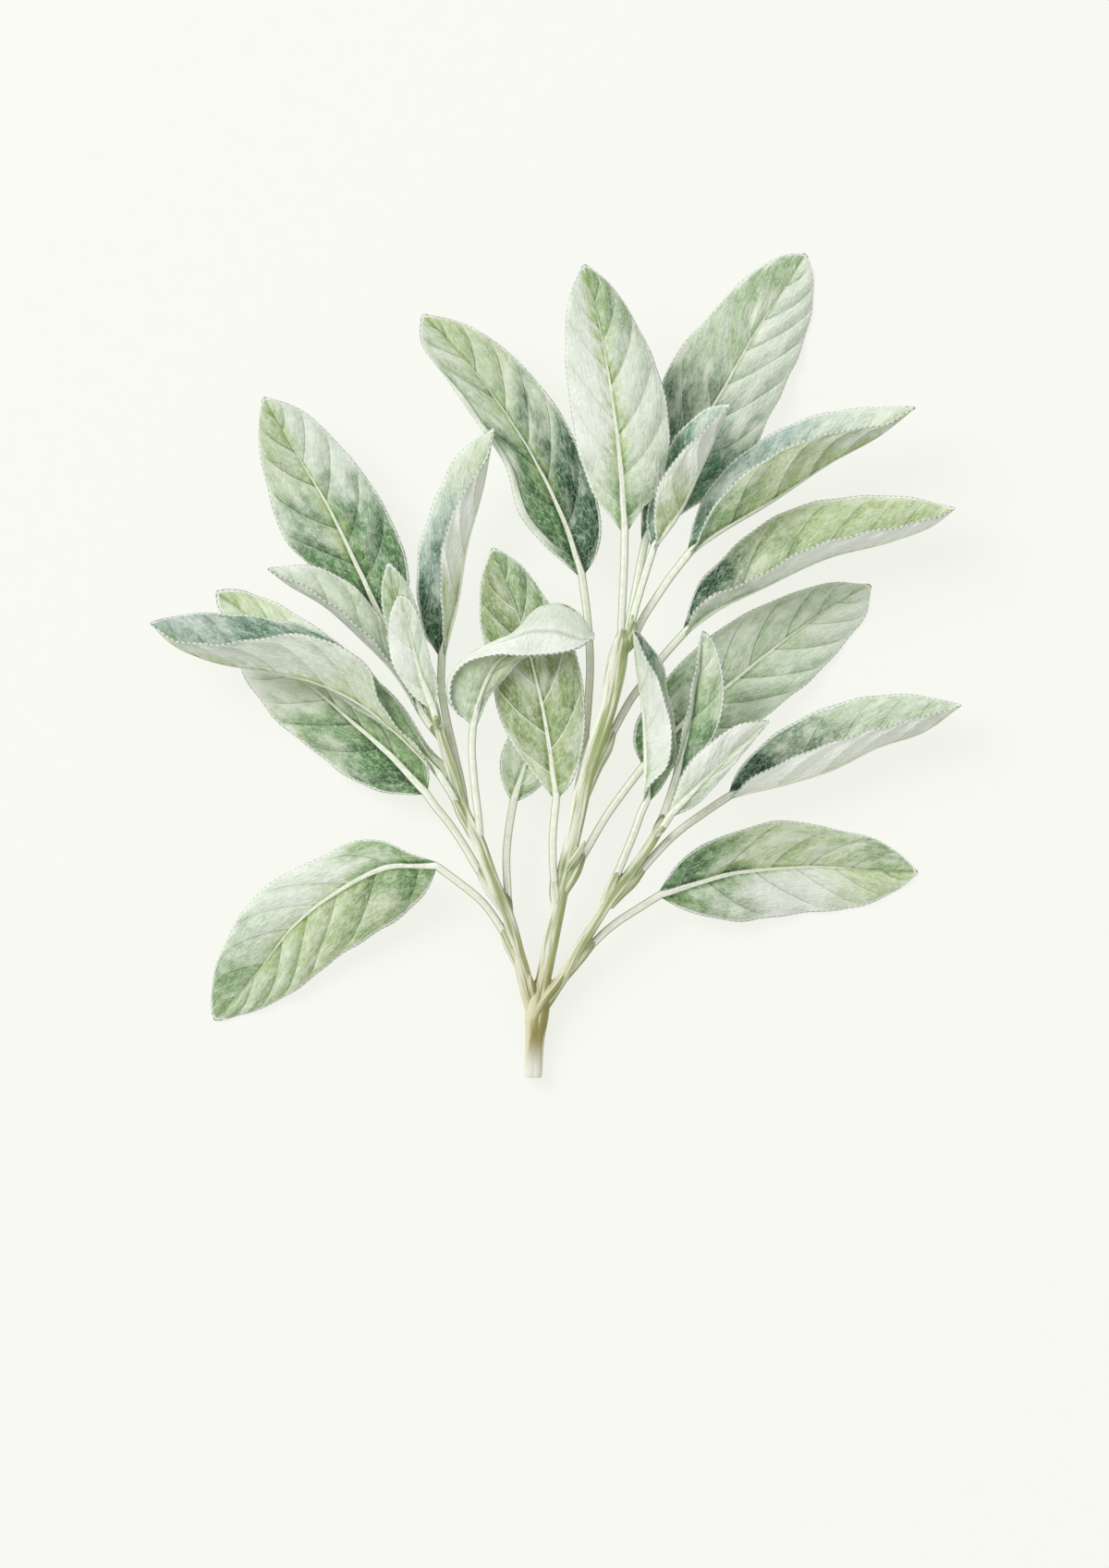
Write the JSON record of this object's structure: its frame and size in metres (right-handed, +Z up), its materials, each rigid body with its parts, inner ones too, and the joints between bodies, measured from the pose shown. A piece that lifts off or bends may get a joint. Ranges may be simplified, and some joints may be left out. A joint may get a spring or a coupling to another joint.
{
  "type": "sage sprig",
  "caption": "Cut sprig of garden sage lying down: a forked woody stem with stalked, finely scalloped leaves, some folded along the rib; for cooking, garnish and table scenes.",
  "frame": {"origin": "middle of the sprig's footprint, on the surface that it lies on", "axes": "+Z up from the surface; +Y along the sprig, from its cut stem end to its leaf tips; +X across it, to the right seen from above with the tips away"},
  "size_m": [0.1758, 0.1786, 0.0259],
  "materials": {
    "sage_leaf": "matte",
    "deep_leaf": "matte",
    "pale_leaf": "matte",
    "stem": "matte"
  },
  "bodies": {
    "root": {"stem": "stem", "leaf_low_left": "sage_leaf", "leaf_left_lower": "deep_leaf", "leaf_left_folded": "pale_leaf", "leaf_left_behind": "sage_leaf", "leaf_left_narrow": "pale_leaf", "leaf_left_broad": "sage_leaf", "small_leaf_left_back": "sage_leaf", "small_leaf_left_front": "pale_leaf", "leaf_left_upright": "pale_leaf", "leaf_crown_left": "deep_leaf", "leaf_crown_centre": "pale_leaf", "leaf_crown_right": "deep_leaf", "small_leaf_crown": "sage_leaf", "leaf_right_top": "pale_leaf", "leaf_right_upper": "sage_leaf", "leaf_right_middle": "sage_leaf", "leaf_right_narrow": "pale_leaf", "leaf_right_lowest": "sage_leaf", "small_leaf_right_folded": "pale_leaf", "small_leaf_right_cupped": "sage_leaf", "small_leaf_right_pale": "pale_leaf", "leaf_centre": "sage_leaf", "leaf_curled": "pale_leaf", "small_leaf_centre": "sage_leaf"}
  },
  "joints": []
}
